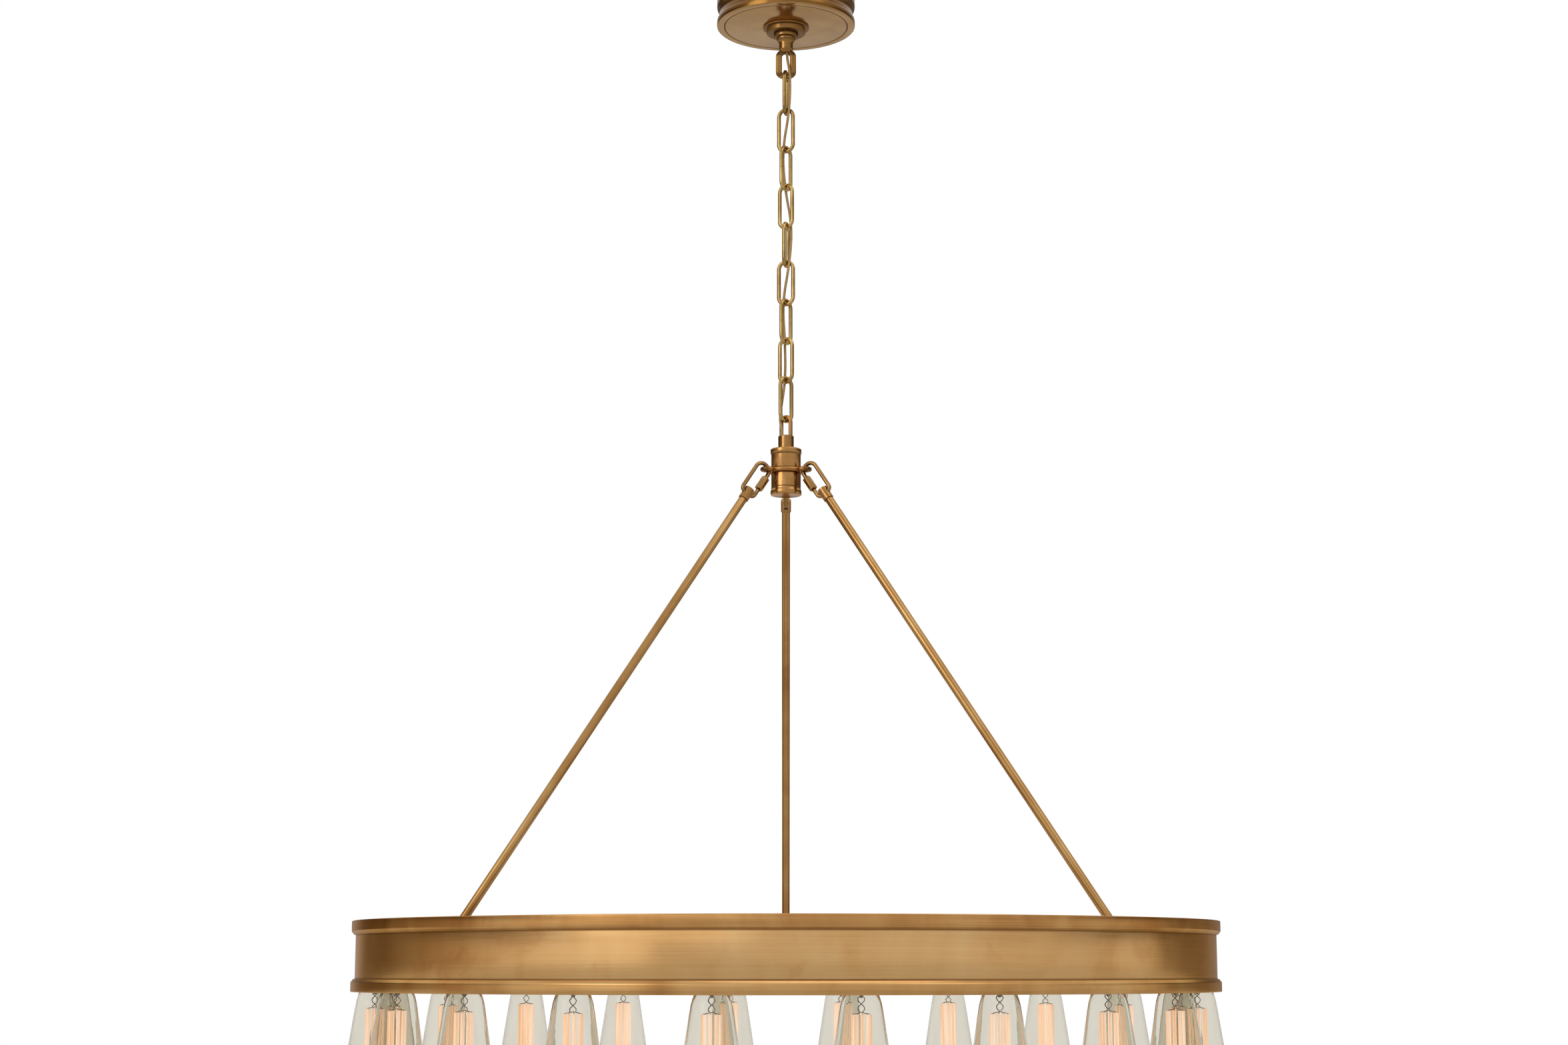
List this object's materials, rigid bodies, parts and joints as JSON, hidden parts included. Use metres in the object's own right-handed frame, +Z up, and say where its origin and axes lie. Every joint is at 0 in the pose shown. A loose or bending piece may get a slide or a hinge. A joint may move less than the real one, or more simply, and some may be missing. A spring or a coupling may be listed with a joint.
{
  "type": "ring chandelier",
  "caption": "Ring chandelier: brass channel ring with teardrop bulbs below, hung by rods and quick links from a hub on a chain, with a woven cord and a screw-collar canopy.",
  "frame": {"origin": "on the ceiling plane, midway between the two box screws, on the hanging axis", "axes": "+Z up into the ceiling, -Y towards the viewer, +X to the viewer's right"},
  "size_m": [1.0159, 1.016, 1.3511],
  "materials": {
    "antique_brass": "antique brass, brushed, with a mottled patina",
    "chain_brass": "satin brass wire",
    "clip_brass": "satin brass wire",
    "plated_steel": "zinc plated",
    "socket_body": "moulded, matt",
    "bulb_glass": "clear",
    "cord_jacket": "gold jacket, satin",
    "wire_jacket": "matt"
  },
  "bodies": {
    "ceiling_mount": {"ceiling_bar": "plated_steel", "threaded_pipe": "plated_steel", "pipe_lock_nut": "plated_steel", "canopy_loop": "antique_brass", "power_cord": "cord_jacket"},
    "canopy": {"canopy": "antique_brass", "canopy_collar": "antique_brass"},
    "link_1": {"chain_link_1": "chain_brass"},
    "link_2": {"chain_link_2": "chain_brass"},
    "link_3": {"chain_link_3": "chain_brass"},
    "link_4": {"chain_link_4": "chain_brass"},
    "link_5": {"chain_link_5": "chain_brass"},
    "link_6": {"chain_link_6": "chain_brass"},
    "link_7": {"chain_link_7": "chain_brass"},
    "link_8": {"chain_link_8": "chain_brass"},
    "link_9": {"chain_link_9": "chain_brass"},
    "chandelier": {"hub_loop": "antique_brass", "hub_upper_cup": "antique_brass", "hub_lower_cup": "antique_brass", "hub_stem": "plated_steel", "hub_flange": "antique_brass", "quick_link_left": "clip_brass", "rod_ferrule_left": "antique_brass", "rod_left": "antique_brass", "rod_foot_left": "antique_brass", "ring_clevis_left": "antique_brass", "foot_pin_left": "antique_brass", "quick_link_right": "clip_brass", "rod_ferrule_right": "antique_brass", "rod_right": "antique_brass", "rod_foot_right": "antique_brass", "ring_clevis_right": "antique_brass", "foot_pin_right": "antique_brass", "quick_link_back": "clip_brass", "rod_ferrule_back": "antique_brass", "rod_back": "antique_brass", "rod_foot_back": "antique_brass", "ring_clevis_back": "antique_brass", "foot_pin_back": "antique_brass", "outer_band": "antique_brass", "inner_band": "antique_brass", "top_cover": "antique_brass", "socket_plate": "plated_steel", "top_lip": "antique_brass", "bottom_lip": "antique_brass", "sockets": "socket_body", "socket_wiring": "wire_jacket", "bulbs": "bulb_glass"},
    "sleeve_left": {"quick_link_sleeve_left": "clip_brass"},
    "sleeve_right": {"quick_link_sleeve_right": "clip_brass"},
    "sleeve_back": {"quick_link_sleeve_back": "clip_brass"}
  },
  "joints": [
    {"name": "canopy_drop", "type": "slide", "parent": "ceiling_mount", "child": "canopy", "axis": [0, 0, -1], "range_m": [0, 0.035]},
    {"name": "link_1_swing", "type": "hinge", "parent": "ceiling_mount", "child": "link_1", "pos_m": [0, 0, -0.11], "axis": [1, 0, 0], "range_deg": [-25, 25], "deforming": ["power_cord"]},
    {"name": "link_2_swing", "type": "hinge", "parent": "link_1", "child": "link_2", "pos_m": [0, 0, -0.157], "axis": [-0.2079, -0.9781, 0], "range_deg": [-25, 25], "deforming": ["power_cord"]},
    {"name": "link_3_swing", "type": "hinge", "parent": "link_2", "child": "link_3", "pos_m": [0, 0, -0.206], "axis": [0.9397, -0.342, 0], "range_deg": [-25, 25], "deforming": ["power_cord"]},
    {"name": "link_4_swing", "type": "hinge", "parent": "link_3", "child": "link_4", "pos_m": [0, 0, -0.255], "axis": [-0.6157, -0.788, 0], "range_deg": [-25, 25], "deforming": ["power_cord"]},
    {"name": "link_5_swing", "type": "hinge", "parent": "link_4", "child": "link_5", "pos_m": [0, 0, -0.304], "axis": [0.829, -0.5592, 0], "range_deg": [-25, 25], "deforming": ["power_cord"]},
    {"name": "link_6_swing", "type": "hinge", "parent": "link_5", "child": "link_6", "pos_m": [0, 0, -0.353], "axis": [-0.2756, -0.9613, 0], "range_deg": [-25, 25], "deforming": ["power_cord"]},
    {"name": "link_7_swing", "type": "hinge", "parent": "link_6", "child": "link_7", "pos_m": [0, 0, -0.402], "axis": [0.9397, -0.342, 0], "range_deg": [-25, 25], "deforming": ["power_cord"]},
    {"name": "link_8_swing", "type": "hinge", "parent": "link_7", "child": "link_8", "pos_m": [0, 0, -0.451], "axis": [-0.6157, -0.788, 0], "range_deg": [-25, 25], "deforming": ["power_cord"]},
    {"name": "link_9_swing", "type": "hinge", "parent": "link_8", "child": "link_9", "pos_m": [0, 0, -0.5], "axis": [0.809, -0.5878, 0], "range_deg": [-25, 25], "deforming": ["power_cord"]},
    {"name": "chandelier_swing", "type": "hinge", "parent": "link_9", "child": "chandelier", "pos_m": [0, 0, -0.549], "axis": [-0.7193, -0.6947, 0], "range_deg": [-25, 25], "deforming": ["power_cord"]},
    {"name": "sleeve_left_slide", "type": "slide", "parent": "chandelier", "child": "sleeve_left", "axis": [-0.4968, -0.2868, -0.8191], "range_m": [0, 0.007]},
    {"name": "sleeve_right_slide", "type": "slide", "parent": "chandelier", "child": "sleeve_right", "axis": [0.4968, -0.2868, -0.8191], "range_m": [0, 0.007]},
    {"name": "sleeve_back_slide", "type": "slide", "parent": "chandelier", "child": "sleeve_back", "axis": [0, 0.5737, -0.8191], "range_m": [0, 0.007]}
  ]
}
